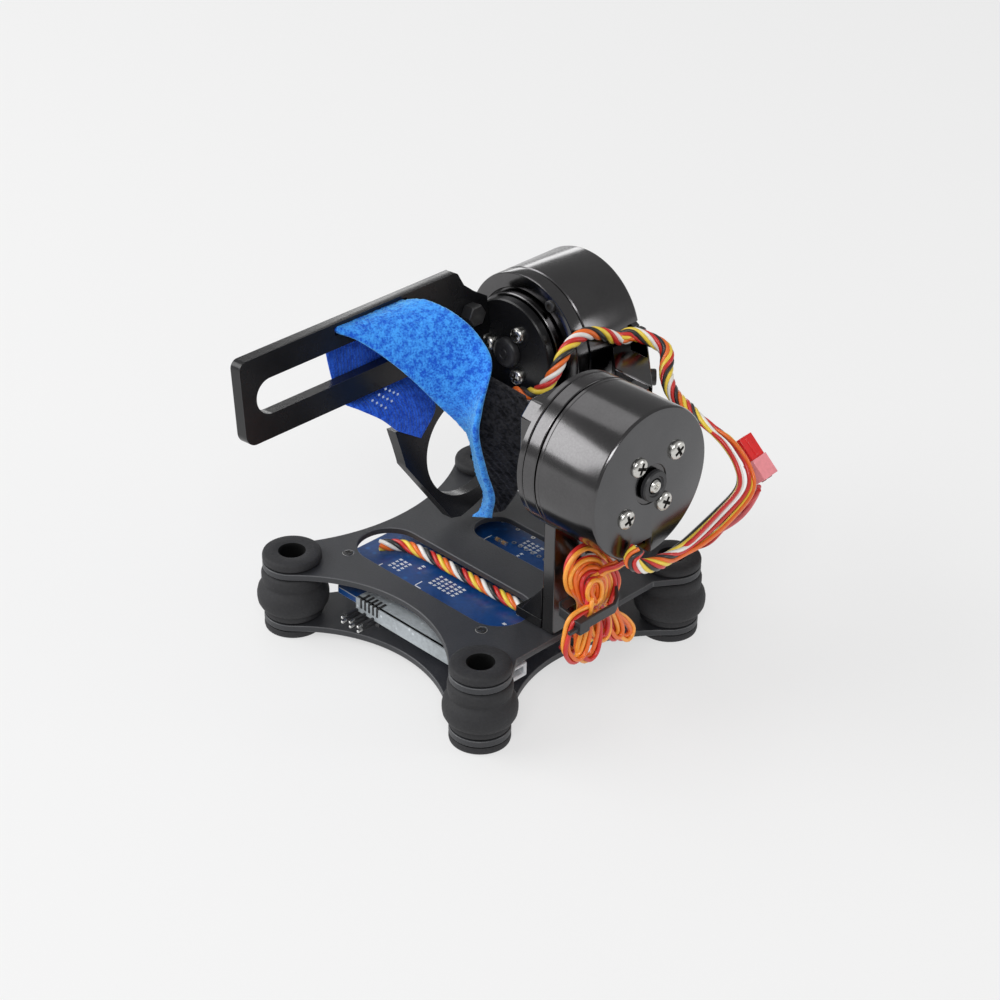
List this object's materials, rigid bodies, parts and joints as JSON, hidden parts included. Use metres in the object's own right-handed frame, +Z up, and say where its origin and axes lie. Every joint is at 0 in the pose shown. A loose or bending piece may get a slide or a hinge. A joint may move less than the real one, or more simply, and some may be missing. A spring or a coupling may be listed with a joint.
{
  "type": "two-axis camera gimbal",
  "caption": "Two-axis brushless camera gimbal: damped base plates, roll and pitch motors on an arm, and a strapped camera tray.",
  "frame": {"origin": "centre of the lower plate's underside, on the plate's face", "axes": "+X along the roll axis from the camera tray to the roll motor, +Y along the pitch axis towards the pitch motor, +Z up from the base plates to the motors"},
  "size_m": [0.0914, 0.0999, 0.0785],
  "materials": {
    "black_glass_fibre": "matte",
    "black_rubber": "matte",
    "black_anodised": "gloss black anodised",
    "bright_steel": "polished",
    "black_steel": "satin black",
    "blue_board": "satin solder mask",
    "chip_black": "matte",
    "white_nylon": "satin",
    "gold_pins": "gold plated",
    "stator_iron": "satin",
    "copper_wire": "enamelled copper",
    "magnet_nickel": "nickel",
    "blue_loop_cloth": "napped loop cloth",
    "black_hook_cloth": "woven hook cloth",
    "cable_jacket": "soft insulation",
    "red_jacket": "soft insulation",
    "black_plastic": "satin"
  },
  "bodies": {
    "base": {"lower_plate": "black_glass_fibre", "upper_plate": "black_glass_fibre", "damper_1": "black_rubber", "damper_2": "black_rubber", "damper_3": "black_rubber", "damper_4": "black_rubber", "controller_board": "blue_board", "board_chip": "chip_black", "pin_header": "gold_pins", "motor_socket": "white_nylon", "board_post_1": "white_nylon", "board_post_2": "white_nylon", "board_post_3": "white_nylon", "board_post_4": "white_nylon", "roll_bracket": "black_anodised", "bracket_foot": "black_anodised", "roll_motor_housing": "black_anodised", "bracket_screw_1": "bright_steel", "bracket_screw_2": "bright_steel", "roll_motor_bearing": "bright_steel", "roll_motor_screw_1": "bright_steel", "roll_motor_screw_2": "bright_steel", "roll_motor_screw_3": "bright_steel", "roll_motor_screw_4": "bright_steel", "roll_motor_stator": "stator_iron", "roll_motor_windings": "copper_wire", "hank_tie": "black_plastic", "board_cable": "cable_jacket", "servo_lead": "cable_jacket", "servo_hank": "cable_jacket", "power_lead": "red_jacket", "power_plug": "red_jacket"},
    "arm": {"roll_motor_rotor": "black_anodised", "roll_motor_magnets": "magnet_nickel", "roll_motor_shaft": "bright_steel", "roll_shaft_collar": "black_plastic", "arm_cross_plate": "black_anodised", "arm_corner_block": "black_anodised", "corner_screw": "black_steel", "arm_side_plate": "black_anodised", "pitch_motor_housing": "black_anodised", "pitch_motor_ring": "black_anodised", "pitch_motor_stator": "stator_iron", "pitch_motor_windings": "copper_wire", "pitch_motor_bearing": "bright_steel", "pitch_cable": "cable_jacket"},
    "tray": {"pitch_motor_rotor": "black_anodised", "pitch_motor_magnets": "magnet_nickel", "pitch_motor_shaft": "bright_steel", "tray_flange": "black_anodised", "flange_screw_1": "bright_steel", "flange_screw_2": "bright_steel", "flange_screw_3": "bright_steel", "hub_cap": "black_plastic", "tray_plate": "black_anodised", "tray_post": "black_steel", "sensor_board": "blue_board", "strap_loop": "blue_loop_cloth", "strap_hook": "black_hook_cloth"}
  },
  "joints": [
    {"name": "roll_joint", "type": "hinge", "parent": "base", "child": "arm", "pos_m": [0, 0, 0.0562], "axis": [1, 0, 0], "range_deg": [-30, 30]},
    {"name": "pitch_joint", "type": "hinge", "parent": "arm", "child": "tray", "pos_m": [-0.0122, 0, 0.0562], "axis": [0, 1, 0], "range_deg": [-25, 90]}
  ]
}
